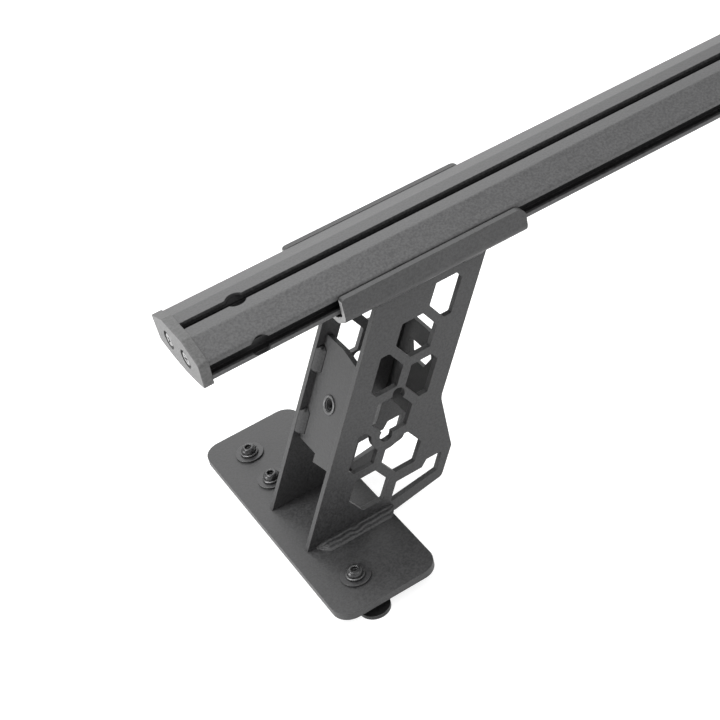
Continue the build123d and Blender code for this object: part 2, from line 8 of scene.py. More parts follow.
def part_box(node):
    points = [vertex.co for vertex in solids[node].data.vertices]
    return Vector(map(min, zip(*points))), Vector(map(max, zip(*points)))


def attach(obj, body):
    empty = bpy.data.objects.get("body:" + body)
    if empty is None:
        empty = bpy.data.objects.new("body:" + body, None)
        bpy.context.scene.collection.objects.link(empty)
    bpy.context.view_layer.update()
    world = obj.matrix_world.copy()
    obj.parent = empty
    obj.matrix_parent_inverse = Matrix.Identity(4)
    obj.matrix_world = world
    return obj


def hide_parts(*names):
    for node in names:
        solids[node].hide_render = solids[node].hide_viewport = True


# Truck bed crossbar: the looks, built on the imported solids. Metres, in the solids' own frame.

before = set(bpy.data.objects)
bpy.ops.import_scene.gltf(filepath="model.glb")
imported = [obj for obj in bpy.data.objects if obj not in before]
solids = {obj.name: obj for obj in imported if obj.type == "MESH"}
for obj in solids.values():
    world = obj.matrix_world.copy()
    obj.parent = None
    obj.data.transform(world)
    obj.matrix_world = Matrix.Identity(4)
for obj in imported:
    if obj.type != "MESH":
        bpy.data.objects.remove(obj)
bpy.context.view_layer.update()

# Middle of the bar's section, and how far from it the side slots' inner walls lie, which take painted shade
BAR_MIDDLE = (0.0, -0.0119, 0.2249)
SLOT_REACH = (1.0, 0.0372, 0.0088)

# Sizes of the riser that the beads and the inserts follow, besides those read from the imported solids
LEAN = math.radians(29.4)
SHOULDER = math.radians(30.0)
SADDLE_FLOOR_HALF = 0.031
PLATE_FOOT_INSET = 0.0139
WEB_RECESS = 0.0075

# Foot beads: three passes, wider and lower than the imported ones, and run on towards the plates' inner end
FOOT_BEAD_PASSES = 3
FOOT_BEAD_WIDENING = 1.2
FOOT_BEAD_LOWERING = 0.7
FOOT_BEAD_RUN_ON = 0.0045

# Beads under the saddle: one at each end of a side plate
SADDLE_BEAD_OUTER_LENGTH = 0.0305
SADDLE_BEAD_INNER_LENGTH = 0.019

# Beads beside the web plate: two on each side, as heights above the base plate
WEB_BEAD_HEIGHTS = (0.060, 0.108)
WEB_BEAD_HEIGHT = 0.021
WEB_BEAD_LEG = 0.0063

# Insert: its packed flange reaches this far from its middle, and stands this proud of the web
INSERT_FLANGE_RADIUS = 0.0069
INSERT_FLANGE_THICKNESS = 0.0012

# M8 base bolts and their spring washers
THREAD_PITCH = 0.00125
THREAD_FLANK = 0.00062
THREAD_RADIUS = 0.0040
THREAD_ROOT_RADIUS = 0.0035
WASHER_SPLIT_ANGLE = 0.22

# Steps round a turned piece
TURN_STEPS = 72


# Shader building


def put(tree, kind, inputs=(), **settings):
    """Add one shader node; inputs maps a socket to a value or to another node's output."""
    made = tree.nodes.new("ShaderNode" + kind)
    for name, value in settings.items():
        setattr(made, name, value)
    for name, value in dict(inputs).items():
        if isinstance(value, bpy.types.NodeSocket):
            tree.links.new(value, made.inputs[name])
        else:
            made.inputs[name].default_value = value
    return made


def math_node(tree, operation, first, second=0.0, clamp=False):
    """One Math node's output."""
    return put(tree, "Math", {0: first, 1: second}, operation=operation, use_clamp=clamp).outputs[0]


def ramp(tree, value, start, stop):
    """A value spread so that start gives 0 and stop gives 1, and held there beyond them."""
    return put(tree, "MapRange", {"Value": value, "From Min": start, "From Max": stop}).outputs[0]


def noise_value(tree, place, scale, detail, roughness):
    """One Noise node's value."""
    settings = {"Vector": place, "Scale": scale, "Detail": detail, "Roughness": roughness}
    return put(tree, "TexNoise", settings).outputs[0]


def start_group(name, inputs, outputs):
    """A shader node group with named inputs, given with their usual values, and named outputs."""
    tree = bpy.data.node_groups.new(name, "ShaderNodeTree")
    for label, (kind, value) in inputs.items():
        socket = tree.interface.new_socket(label, in_out="INPUT", socket_type=kind)
        socket.default_value = value
    for label, kind in outputs.items():
        tree.interface.new_socket(label, in_out="OUTPUT", socket_type=kind)
    entry = tree.nodes.new("NodeGroupInput")
    leave = tree.nodes.new("NodeGroupOutput")
    return tree, entry.outputs, leave.inputs


def place_group(tree, group, **inputs):
    """Place a node group in a material; underscores in the names stand for spaces."""
    made = tree.nodes.new("ShaderNodeGroup")
    made.node_tree = group
    for name, value in inputs.items():
        socket = made.inputs[name.replace("_", " ")]
        if isinstance(value, bpy.types.NodeSocket):
            tree.links.new(value, socket)
        else:
            socket.default_value = value
    return made.outputs


FLOAT = "NodeSocketFloat"
VECTOR = "NodeSocketVector"


def make_coat_grain():
    """Powder coat: a fine pepper over a wider orange peel."""
    tree, given, out = start_group(
        "coat_grain",
        {"Fine Scale": (FLOAT, 560.0), "Peel Scale": (FLOAT, 320.0), "Peel Share": (FLOAT, 0.5)},
        {"Height": FLOAT, "Pepper": FLOAT},
    )
    place = put(tree, "TexCoord").outputs["Object"]
    fine = noise_value(tree, place, given["Fine Scale"], 2.0, 0.6)
    peel = noise_value(tree, place, given["Peel Scale"], 1.0, 0.4)
    mixed = put(tree, "Mix", {0: given["Peel Share"], 2: fine, 3: peel}, data_type="FLOAT")
    tree.links.new(mixed.outputs[0], out["Height"])
    tree.links.new(ramp(tree, fine, 0.36, 0.64), out["Pepper"])
    return tree


def make_edge_rub():
    """Worn outer edges: a broken-up mask along them, and the normal of a slightly rounded edge."""
    tree, given, out = start_group(
        "edge_rub",
        {
            "Radius": (FLOAT, 0.0006),
            "Break Scale": (FLOAT, 160.0),
            "Gain": (FLOAT, 3.0),
            "Cut": (FLOAT, 0.35),
        },
        {"Mask": FLOAT, "Normal": VECTOR},
    )
    round_edge = put(tree, "Bevel", {"Radius": given["Radius"]}, samples=6)
    flat = put(tree, "NewGeometry")
    same = put(
        tree, "VectorMath", {0: round_edge.outputs[0], 1: flat.outputs["Normal"]}, operation="DOT_PRODUCT"
    )
    away = math_node(tree, "SUBTRACT", 1.0, same.outputs["Value"], clamp=True)
    edge = math_node(tree, "MULTIPLY", away, given["Gain"], clamp=True)
    place = put(tree, "TexCoord").outputs["Object"]
    patch = noise_value(tree, place, given["Break Scale"], 4.0, 0.65)
    broken = ramp(tree, patch, given["Cut"], 0.75)
    tree.links.new(math_node(tree, "MULTIPLY", edge, broken, clamp=True), out["Mask"])
    tree.links.new(round_edge.outputs[0], out["Normal"])
    return tree


def make_mottle():
    """Slow change of tone over a surface, such as coat thickness and handling."""
    tree, given, out = start_group(
        "mottle",
        {"Scale": (FLOAT, 14.0), "Stretch": (VECTOR, (1.0, 1.0, 1.0))},
        {"Tone": FLOAT},
    )
    place = put(tree, "TexCoord").outputs["Object"]
    stretched = put(tree, "VectorMath", {0: place, 1: given["Stretch"]}, operation="MULTIPLY").outputs[0]
    slow = noise_value(tree, stretched, given["Scale"], 4.0, 0.55)
    tree.links.new(ramp(tree, slow, 0.3, 0.7), out["Tone"])
    return tree


def make_lit_end_faces():
    """Mask of the faces square to the bar, such as a sheet's cut end faces or the cap's outer face; their
    lighter colour is painted light from the left, on cut sheet partly bare steel too.
    """
    tree, given, out = start_group("cut_faces", {"Gain": (FLOAT, 1.0)}, {"Mask": FLOAT})
    facing = put(tree, "TexCoord").outputs["Normal"]
    along = put(tree, "SeparateXYZ", {0: facing}).outputs["X"]
    square = math_node(tree, "ABSOLUTE", along)
    spread = ramp(tree, square, 0.9, 0.98)
    tree.links.new(math_node(tree, "MULTIPLY", spread, given["Gain"], clamp=True), out["Mask"])
    return tree


def make_painted_slot_shade():
    """Mask of the side slots' inner walls, where the bar's colour is darkened as painted shade."""
    tree, given, out = start_group(
        "slot_inside",
        {"Middle": (VECTOR, BAR_MIDDLE), "Reach": (VECTOR, SLOT_REACH)},
        {"Mask": FLOAT},
    )
    place = put(tree, "TexCoord").outputs["Object"]
    apart = put(tree, "VectorMath", {0: place, 1: given["Middle"]}, operation="SUBTRACT").outputs[0]
    apart = put(tree, "VectorMath", {0: apart}, operation="ABSOLUTE").outputs[0]
    room = put(tree, "VectorMath", {0: given["Reach"], 1: apart}, operation="SUBTRACT").outputs[0]
    split = put(tree, "SeparateXYZ", {0: room}).outputs
    least = math_node(tree, "MINIMUM", split["Y"], split["Z"])
    tree.links.new(ramp(tree, least, 0.0, 0.0005), out["Mask"])
    return tree


def make_thread_ridges():
    """Ridges of a thread, one for each pitch along the given direction."""
    tree, given, out = start_group(
        "thread_ridges",
        {"Pitch": (FLOAT, 0.00125), "Direction": (VECTOR, (0.0, 0.0, 1.0))},
        {"Height": FLOAT},
    )
    place = put(tree, "TexCoord").outputs["Object"]
    along = put(tree, "VectorMath", {0: place, 1: given["Direction"]}, operation="DOT_PRODUCT")
    turns = math_node(tree, "DIVIDE", along.outputs["Value"], given["Pitch"])
    ridge = math_node(tree, "PINGPONG", turns, 0.5)
    tree.links.new(ridge, out["Height"])
    return tree


coat_grain = make_coat_grain()
edge_rub = make_edge_rub()
mottle = make_mottle()
cut_faces = make_lit_end_faces()
slot_inside = make_painted_slot_shade()
thread_ridges = make_thread_ridges()


def blank_material(name):
    """A material with only its output node."""
    material = bpy.data.materials.new(name)
    material.use_nodes = True
    material.node_tree.nodes.clear()
    return material, material.node_tree, material.node_tree.nodes.new("ShaderNodeOutputMaterial")


def tone_mix(tree, dark, light, share):
    """A colour between two colours."""
    made = put(tree, "Mix", {0: share, 6: (*dark, 1.0), 7: (*light, 1.0)}, data_type="RGBA")
    return made.outputs[2]


def tint(tree, base, colour, share):
    """A base colour that gives way to a plain colour where the share says."""
    made = put(tree, "Mix", {0: share, 6: base, 7: (*colour, 1.0)}, data_type="RGBA")
    return made.outputs[2]


def scaled(tree, value, low, high):
    """A 0 to 1 value spread between two numbers."""
    return put(tree, "MapRange", {"Value": value, "To Min": low, "To Max": high}).outputs[0]


def coated(
    name, dark, light, worn, rough, bump, wear_gain, wear_cut,
    peel_share=0.5, stretch=(1, 1, 1), metal=0.0, ends=None, fine=560.0, inside=None,
):
    """Satin powder coat or black finish: mottled tone, pepper, rubbed edges and a grain in relief, with
    painted light on the faces square to the bar and painted shade in the side slots where asked.
    """
    material, tree, out = blank_material(name)
    grain = place_group(tree, coat_grain, Peel_Share=peel_share, Fine_Scale=fine)
    slow = place_group(tree, mottle, Scale=11.0, Stretch=stretch)
    edge = place_group(tree, edge_rub, Gain=wear_gain, Cut=wear_cut)
    mixed = math_node(tree, "MULTIPLY", slow["Tone"], 0.3)
    mixed = math_node(tree, "ADD", mixed, math_node(tree, "MULTIPLY", grain["Pepper"], 0.7))
    base = tone_mix(tree, dark, light, mixed)
    # Faces square to the bar take a lighter colour: painted light from the left, and on the saddle also
    # bare cut steel.
    if ends:
        square = place_group(tree, cut_faces)
        base = tint(tree, base, ends, square["Mask"])
    # Painted shade: the side slots' inner walls take a darker colour.
    if inside:
        slot_shade_mask = place_group(tree, slot_inside)
        base = tint(tree, base, inside, slot_shade_mask["Mask"])
    colour = tint(tree, base, worn, edge["Mask"])
    relief = put(
        tree, "Bump",
        {"Strength": bump, "Distance": 0.0003, "Height": grain["Height"], "Normal": edge["Normal"]},
    )
    shader = put(
        tree, "BsdfPrincipled",
        {
            "Base Color": colour,
            "Roughness": scaled(tree, mixed, rough[0], rough[1]),
            "Metallic": metal,
            "Normal": relief.outputs[0],
        },
    )
    tree.links.new(shader.outputs[0], out.inputs[0])
    return material


def threaded(name, dark, light, worn, direction, metal):
    """Black zinc with thread ridges along one direction."""
    material, tree, out = blank_material(name)
    slow = place_group(tree, mottle, Scale=60.0)
    edge = place_group(tree, edge_rub, Radius=0.0004, Gain=5.0, Cut=0.3)
    ridge = place_group(tree, thread_ridges, Direction=direction)
    base = tone_mix(tree, dark, light, slow["Tone"])
    colour = tint(tree, base, worn, edge["Mask"])
    relief = put(tree, "Bump", {"Strength": 0.8, "Distance": 0.0009, "Height": ridge["Height"]})
    shader = put(
        tree, "BsdfPrincipled",
        {
            "Base Color": colour,
            "Roughness": scaled(tree, slow["Tone"], 0.34, 0.5),
            "Metallic": metal,
            "Normal": relief.outputs[0],
        },
    )
    tree.links.new(shader.outputs[0], out.inputs[0])
    return material


# The bar's last colour is painted shade inside its side slots.
bar_coat = coated(
    "bar_coat", (0.031, 0.031, 0.032), (0.072, 0.072, 0.073), (0.12, 0.12, 0.12), (0.42, 0.6),
    bump=0.8, wear_gain=2.5, wear_cut=0.42, stretch=(0.12, 1, 1), inside=(0.010, 0.010, 0.0105),
)
sheet_coat = coated(
    "sheet_coat", (0.012, 0.012, 0.0125), (0.041, 0.041, 0.042), (0.11, 0.11, 0.11), (0.42, 0.62),
    bump=0.8, wear_gain=2.5, wear_cut=0.42,
)
# A darker copy of the sheet coat: painted shade on the rear web plate, which lies hidden between the
# riser's plates.
inner_sheet_coat = coated(
    "inner_sheet_coat", (0.007, 0.007, 0.0073), (0.026, 0.026, 0.0265), (0.08, 0.08, 0.08), (0.46, 0.66),
    bump=0.8, wear_gain=2.5, wear_cut=0.42,
)
# Its lighter end faces are partly bare cut steel, partly painted light from the left.
saddle_coat = coated(
    "saddle_coat", (0.012, 0.012, 0.0125), (0.044, 0.044, 0.045), (0.14, 0.14, 0.14), (0.42, 0.62),
    bump=0.6, wear_gain=3.0, wear_cut=0.38, ends=(0.26, 0.26, 0.26),
)
bead_coat = coated(
    "bead_coat", (0.016, 0.016, 0.0165), (0.048, 0.048, 0.049), (0.14, 0.14, 0.14), (0.38, 0.52),
    bump=0.5, wear_gain=1.5, wear_cut=0.5, peel_share=0.3,
)
# Its lighter outer face is painted light from the left.
cap_moulding = coated(
    "cap_moulding", (0.050, 0.050, 0.050), (0.098, 0.098, 0.098), (0.15, 0.15, 0.15), (0.55, 0.7),
    bump=1.0, wear_gain=2.0, wear_cut=0.5, peel_share=0.15, ends=(0.125, 0.125, 0.125), fine=480.0,
)
# Its bright rubbed edges are partly wear, partly a painted highlight on the bolt heads.
fastener_black = coated(
    "fastener_black", (0.03, 0.03, 0.031), (0.07, 0.07, 0.071), (0.5, 0.5, 0.5), (0.2, 0.34),
    bump=0.25, wear_gain=5.0, wear_cut=0.3, peel_share=0.2, metal=0.7,
)
washer_black = coated(
    "washer_black", (0.022, 0.022, 0.023), (0.044, 0.044, 0.045), (0.24, 0.24, 0.24), (0.3, 0.46),
    bump=0.2, wear_gain=3.0, wear_cut=0.35, peel_share=0.2, metal=0.3,
)
spring_black = coated(
    "spring_black", (0.06, 0.06, 0.061), (0.13, 0.13, 0.131), (0.36, 0.36, 0.36), (0.26, 0.38),
    bump=0.2, wear_gain=4.0, wear_cut=0.35, peel_share=0.2, metal=0.7,
)
rail_nut_black = coated(
    "rail_nut_black", (0.012, 0.012, 0.0125), (0.022, 0.022, 0.0225), (0.2, 0.2, 0.2), (0.36, 0.52),
    bump=0.2, wear_gain=5.0, wear_cut=0.3, metal=0.4,
)
# Its head faces, square to the bar, are lighter as painted light from the left; its bright rubbed edges are
# partly wear, partly a painted highlight.
screw_black = coated(
    "screw_black", (0.03, 0.03, 0.031), (0.09, 0.09, 0.091), (0.45, 0.45, 0.45), (0.26, 0.42),
    bump=0.2, wear_gain=6.0, wear_cut=0.35, peel_share=0.2, metal=0.6, ends=(0.24, 0.24, 0.24),
)
clamp_thread_black = threaded(
    "clamp_thread_black", (0.025, 0.025, 0.026), (0.05, 0.05, 0.051), (0.35, 0.35, 0.35),
    (0.0, 0.0, 1.0), 0.5,
)
# Darker copies for the inserts' bores, with thread ridges: painted shade inside the hole.
left_bore_black = threaded(
    "left_bore_black", (0.012, 0.012, 0.0125), (0.03, 0.03, 0.031), (0.2, 0.2, 0.2),
    (-math.cos(LEAN), 0.0, math.sin(LEAN)), 0.3,
)
right_bore_black = threaded(
    "right_bore_black", (0.012, 0.012, 0.0125), (0.03, 0.03, 0.031), (0.2, 0.2, 0.2),
    (math.cos(LEAN), 0.0, math.sin(LEAN)), 0.3,
)

finish_of = {
    "crossbar_extrusion": bar_coat,
    "end_cap": cap_moulding,
    "cap_screws": screw_black,
    "saddle_channel": saddle_coat,
    "side_plate_front": sheet_coat,
    "side_plate_rear": sheet_coat,
    "web_plate": sheet_coat,
    "threaded_insert": spring_black,
    # Painted shade: the rear web plate takes the darker copy of the sheet coat.
    "rear_web_plate": inner_sheet_coat,
    "base_plate": sheet_coat,
    "base_welds": bead_coat,
    "saddle_welds": bead_coat,
    "web_welds": bead_coat,
    "base_bolts": fastener_black,
    "flat_washers": washer_black,
    "lock_washers": spring_black,
    "rail_nut_front": rail_nut_black,
    "rail_nut_rear": rail_nut_black,
    "clamp_t_bolts": clamp_thread_black,
    "clamp_washers": washer_black,
    "clamp_nuts": fastener_black,
}


def finish_solids():
    """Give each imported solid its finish."""
    for name, solid in solids.items():
        plain = name.replace("left_", "").replace("right_", "")
        solid.data.materials.clear()
        solid.data.materials.append(finish_of[plain])


finish_solids()


# Weld beads with their ripples

FACETS_PER_PASS = 10
STATIONS_PER_RIPPLE = 6
END_RAGGEDNESS = 0.0012
PASS_STAGGER = 0.0012
LANE_DRIFT = 0.36
RESTART_PLACE = 0.47
RESTART_LENGTH = 0.004
RESTART_DRIFT = 0.45


def bead_mesh(name, runs, ripple, pitch, passes, ridge):
    """Mesh of rippled beads; each run is a corner line, its legs' directions and lengths, and a crown."""
    mesh = bpy.data.meshes.new(name)
    shape = bmesh.new()
    across = FACETS_PER_PASS * passes
    for start, end, along_sheet, along_plate, reach, rise, crown in runs:
        length = (end - start).length
        stations = max(12, int(length / (pitch / STATIONS_PER_RIPPLE)))
        chord = along_plate * rise - along_sheet * reach
        outward = along_sheet + along_plate
        outward = (outward - chord * (outward.dot(chord) / chord.length_squared)).normalized()
        taper = 0.45 * reach + PASS_STAGGER * (passes - 1)
        rings = []
        for i in range(stations + 1):
            s = i / stations
            corner = start.lerp(end, s)
            ring = [corner]
            for j in range(across + 1):
                t = j / across
                rag = END_RAGGEDNESS * noise.noise(Vector((7 * t, start.y * 300, 2.0 * round(s))))
                from_end = max(0.0, min(s, 1 - s) * length - rag * math.sin(math.pi * t))
                swell = max(0.2, min(1.0, from_end / taper) ** 0.6)
                drift = LANE_DRIFT * noise.noise(Vector((s * length * 75, 3.0 * passes, start.y * 40)))
                restart = math.exp(-((s - RESTART_PLACE) * length / RESTART_LENGTH) ** 2)
                drift += RESTART_DRIFT * restart * (passes - 1) / 2
                lane = min(passes, max(0.0, t * passes + drift * math.sin(math.pi * t)))
                strip = lane % 1.0
                turn = s * length / pitch - 0.5 * (2 * strip - 1) ** 2 + 0.37 * math.floor(lane * 0.999)
                wave = 0.5 - 0.5 * math.cos(2 * math.pi * turn)
                uneven = 0.6 + 0.8 * noise.noise(corner * 90 + Vector((0, 0, 4 * t)))
                jitter = noise.noise(corner * 260 + Vector((0, 0, 9 * t))) * ripple
                lift = crown * math.sin(math.pi * t) + ridge * math.sin(math.pi * lane) ** 2
                lift += ripple * wave * uneven + jitter + 0.4 * ridge * restart
                edge_hold = min(1.0, 5 * min(t, 1 - t))
                point = along_sheet * reach * (1 - t) + along_plate * rise * t
                ring.append(corner + (point + outward * (lift - 0.35 * crown) * edge_hold) * swell)
            rings.append([shape.verts.new(p) for p in ring])
        count = len(rings[0])
        for one, two in zip(rings, rings[1:]):
            for k in range(count):
                m = (k + 1) % count
                shape.faces.new((one[k], one[m], two[m], two[k]))
        shape.faces.new(rings[0][::-1])
        shape.faces.new(rings[-1])
    bmesh.ops.recalc_face_normals(shape, faces=shape.faces[:])
    shape.to_mesh(mesh)
    shape.free()
    for face in mesh.polygons:
        face.use_smooth = len(face.vertices) == 4
    return mesh


def place_on_riser(name, mesh, finish, side, node):
    """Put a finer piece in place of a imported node, on that side's riser."""
    piece = bpy.data.objects.new(name, mesh)
    bpy.context.scene.collection.objects.link(piece)
    mesh.materials.append(finish)
    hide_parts(node)
    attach(piece, side + "_stand")


def bead_runs_on_base(side):
    """Corner lines along the outer foot of the side plates."""
    low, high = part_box(side + "_base_welds")
    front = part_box(side + "_side_plate_front")[0].y
    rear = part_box(side + "_side_plate_rear")[1].y
    runs = []
    for y, away in ((front, -1), (rear, 1)):
        reach = (y - low.y) if away < 0 else (high.y - y)
        start = Vector((low.x - (FOOT_BEAD_RUN_ON if side == "right" else 0.0), y, low.z))
        end = Vector((high.x + (FOOT_BEAD_RUN_ON if side == "left" else 0.0), y, low.z))
        reach *= FOOT_BEAD_WIDENING
        rise = (high.z - low.z) * FOOT_BEAD_LOWERING
        runs.append((start, end, Vector((0, away, 0)), Vector((0, 0, 1)), reach, rise, 0.0004))
    return runs


def bead_runs_under_saddle(side):
    """Corner lines between the side plates' outer faces and the saddle's rising shoulders."""
    low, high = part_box(side + "_saddle_welds")
    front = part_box(side + "_side_plate_front")[0].y
    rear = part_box(side + "_side_plate_rear")[1].y
    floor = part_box(side + "_saddle_channel")[0].z
    middle = (front + rear) / 2
    half = (rear - front) / 2
    level = floor + (half - SADDLE_FLOOR_HALF) * math.tan(SHOULDER)
    leg = level - low.z
    sign = 1 if side == "left" else -1
    outer_end, inner_end = (low.x, high.x) if side == "left" else (high.x, low.x)
    spans = (
        (outer_end, outer_end + sign * SADDLE_BEAD_OUTER_LENGTH),
        (inner_end - sign * SADDLE_BEAD_INNER_LENGTH, inner_end),
    )
    runs = []
    for away in (-1, 1):
        up_shoulder = Vector((0, away * math.cos(SHOULDER), math.sin(SHOULDER)))
        for a, b in spans:
            y = middle + away * half
            start = Vector((min(a, b), y, level))
            end = Vector((max(a, b), y, level))
            runs.append((start, end, up_shoulder, Vector((0, 0, -1)), leg, leg, 0.0007))
    return runs


def web_directions(side):
    """Sign of a side, with the directions up the leaning web plate and out of its front face."""
    sign = 1 if side == "left" else -1
    up = Vector((sign * math.sin(LEAN), 0, math.cos(LEAN)))
    out = Vector((-sign * math.cos(LEAN), 0, math.sin(LEAN)))
    return sign, up, out


def bead_runs_on_web(side):
    """Corner lines between the web's front face and both side plates."""
    sign, up, out = web_directions(side)
    low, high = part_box(side + "_base_plate")
    foot = (low.x if side == "left" else high.x) + sign * (PLATE_FOOT_INSET + WEB_RECESS)
    origin = Vector((foot, 0, high.z))
    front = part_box(side + "_side_plate_front")[1].y
    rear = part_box(side + "_side_plate_rear")[0].y
    runs = []
    for y, away in ((front, 1), (rear, -1)):
        for height in WEB_BEAD_HEIGHTS:
            start = origin + up * (height / math.cos(LEAN))
            end = start + up * (WEB_BEAD_HEIGHT / math.cos(LEAN))
            start.y = y
            end.y = y
            runs.append((start, end, out, Vector((0, away, 0)), WEB_BEAD_LEG, WEB_BEAD_LEG, 0.0006))
    return runs


def place_beads(side):
    """All beads of one riser: at the foot, under the saddle and beside the web."""
    foot = bead_mesh(
        side + "_foot_beads", bead_runs_on_base(side),
        ripple=0.00012, pitch=0.0045, passes=FOOT_BEAD_PASSES, ridge=0.0005,
    )
    place_on_riser(side + "_foot_beads", foot, bead_coat, side, side + "_base_welds")
    saddle = bead_mesh(
        side + "_saddle_beads", bead_runs_under_saddle(side),
        ripple=0.0002, pitch=0.0026, passes=1, ridge=0.0,
    )
    place_on_riser(side + "_saddle_beads", saddle, bead_coat, side, side + "_saddle_welds")
    web = bead_mesh(
        side + "_web_beads", bead_runs_on_web(side),
        ripple=0.00012, pitch=0.0034, passes=1, ridge=0.0,
    )
    place_on_riser(side + "_web_beads", web, sheet_coat, side, side + "_web_welds")


# Threaded inserts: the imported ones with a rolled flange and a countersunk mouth


def insert_mesh(name, side):
    """Blind-rivet nut turned round its axis; radius and height above the web's front face."""
    profile = (
        (0.0042, -0.0158), (0.0042, -0.0012), (0.0045, -0.0008), (0.0055, 0.0006), (0.0058, 0.0010),
        (0.0061, 0.0012), (0.0072, 0.0012), (0.0077, 0.0010), (0.0080, 0.0006), (0.0080, 0.0),
        (0.0055, 0.0), (0.0055, -0.0031), (0.0072, -0.0041), (0.0072, -0.0061), (0.0055, -0.0071),
        (0.0055, -0.0158),
    )
    sign, up, out = web_directions(side)
    low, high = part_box(side + "_threaded_insert")
    mouth = low.x if side == "left" else high.x
    flange_middle = Vector((
        mouth + sign * INSERT_FLANGE_RADIUS * math.sin(LEAN),
        (low.y + high.y) / 2,
        high.z - INSERT_FLANGE_RADIUS * math.cos(LEAN),
    ))
    centre = flange_middle - out * INSERT_FLANGE_THICKNESS
    mesh = bpy.data.meshes.new(name)
    shape = bmesh.new()
    rings = []
    for k in range(TURN_STEPS):
        angle = 2 * math.pi * k / TURN_STEPS
        away = up * math.cos(angle) + Vector((0, math.sin(angle), 0))
        rings.append([shape.verts.new(centre + away * r + out * h) for r, h in profile])
    for one, two in zip(rings, rings[1:] + rings[:1]):
        for m in range(len(profile)):
            n = (m + 1) % len(profile)
            face = shape.faces.new((one[m], one[n], two[n], two[m]))
            # Bore and mouth faces take the darker bore material: painted shade.
            in_bore = m < 3 or m == len(profile) - 1
            face.material_index = 1 if in_bore else 0
    bmesh.ops.recalc_face_normals(shape, faces=shape.faces[:])
    shape.to_mesh(mesh)
    shape.free()
    for face in mesh.polygons:
        face.use_smooth = True
    mesh.set_sharp_from_angle(angle=math.radians(40))
    return mesh


# Base bolts and spring washers: finer heads, sockets, threads and split rings


def turn_profile(shape, centre, profile, gap=0.0):
    """Turn a closed profile round Z; hexagon points give a socket's flats, and gap is a split's angle."""
    full = gap == 0.0
    count = TURN_STEPS if full else TURN_STEPS + 1
    span = 2 * math.pi - gap
    rings = []
    for k in range(count):
        angle = gap / 2 + span * k / TURN_STEPS
        ring = []
        for r, h, hexagon in profile:
            if hexagon:
                r = r / math.cos((angle + math.pi / 6) % (math.pi / 3) - math.pi / 6)
            spot = Vector((r * math.cos(angle), r * math.sin(angle), h))
            ring.append(shape.verts.new(centre + spot))
        rings.append(ring)
    pairs = list(zip(rings, rings[1:]))
    if full:
        pairs.append((rings[-1], rings[0]))
    for one, two in pairs:
        for m in range(len(profile)):
            n = (m + 1) % len(profile)
            shape.faces.new((one[m], one[n], two[n], two[m]))
    if not full:
        shape.faces.new(rings[0])
        shape.faces.new(rings[-1][::-1])


def finish_mesh(name, shape):
    """Store turned pieces with smooth sides and sharp rims."""
    mesh = bpy.data.meshes.new(name)
    bmesh.ops.remove_doubles(shape, verts=shape.verts[:], dist=1e-7)
    bmesh.ops.recalc_face_normals(shape, faces=shape.faces[:])
    shape.to_mesh(mesh)
    shape.free()
    for face in mesh.polygons:
        face.use_smooth = True
    mesh.set_sharp_from_angle(angle=math.radians(35))
    return mesh


def solid_places(node):
    """Middle of each solid of a node in plan, found from its separate mesh islands."""
    mesh = solids[node].data
    shape = bmesh.new()
    shape.from_mesh(mesh)
    bmesh.ops.remove_doubles(shape, verts=shape.verts[:], dist=1e-6)
    left = set(shape.verts)
    places = []
    while left:
        island = {left.pop()}
        front = list(island)
        while front:
            vert = front.pop()
            for edge in vert.link_edges:
                other = edge.other_vert(vert)
                if other in left:
                    left.discard(other)
                    island.add(other)
                    front.append(other)
        xs = [v.co.x for v in island]
        ys = [v.co.y for v in island]
        if max(xs) - min(xs) > 0.003:
            places.append(Vector(((min(xs) + max(xs)) / 2, (min(ys) + max(ys)) / 2, 0)))
    shape.free()
    return places


def bolt_profile(seat, tip, top):
    """Head with a rounded shoulder and a socket, a neck and a ridged shank; levels are absolute."""
    profile = [
        (0.0, top - 0.0031, False), (0.0026, top - 0.0029, True), (0.0026, top - 0.0005, True),
        (0.0030, top, True), (0.0041, top, False), (0.0047, top - 0.0002, False),
        (0.0055, top - 0.0009, False), (0.0062, top - 0.0020, False), (0.0066, top - 0.0032, False),
        (0.0067, top - 0.0038, False),
        (0.0064, seat + 0.0003, False), (0.0058, seat, False), (THREAD_RADIUS, seat, False),
    ]
    level = seat - 0.0012
    while level > tip + 0.0022:
        profile.append((THREAD_RADIUS, level, False))
        profile.append((THREAD_ROOT_RADIUS, level - THREAD_FLANK, False))
        level -= THREAD_PITCH
    profile.extend([
        (THREAD_RADIUS, level, False), (THREAD_RADIUS, tip + 0.0008, False),
        (0.0033, tip, False), (0.0, tip, False),
    ])
    return profile


def base_bolt_mesh(name, side):
    """The base bolts of one riser."""
    node = side + "_base_bolts"
    low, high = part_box(node)
    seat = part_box(side + "_lock_washers")[1].z
    shape = bmesh.new()
    for place in solid_places(node):
        turn_profile(shape, place, bolt_profile(seat, low.z, high.z))
    return finish_mesh(name, shape)


def spring_washer_mesh(name, side):
    """Split rings with rounded rims, a hair clear of the large washers' rubbed edge."""
    low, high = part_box(side + "_lock_washers")
    bottom = low.z
    top = high.z
    profile = (
        (0.0044, bottom + 0.0002, False), (0.0044, top - 0.0002, False), (0.0047, top, False),
        (0.0071, top, False), (0.0076, top - 0.0003, False), (0.0078, top - 0.0009, False),
        (0.0076, bottom + 0.0006, False), (0.0070, bottom + 0.0002, False), (0.0066, bottom, False),
        (0.0047, bottom, False),
    )
    shape = bmesh.new()
    for place in solid_places(side + "_base_bolts"):
        turn_profile(shape, place, profile, gap=WASHER_SPLIT_ANGLE)
    return finish_mesh(name, shape)


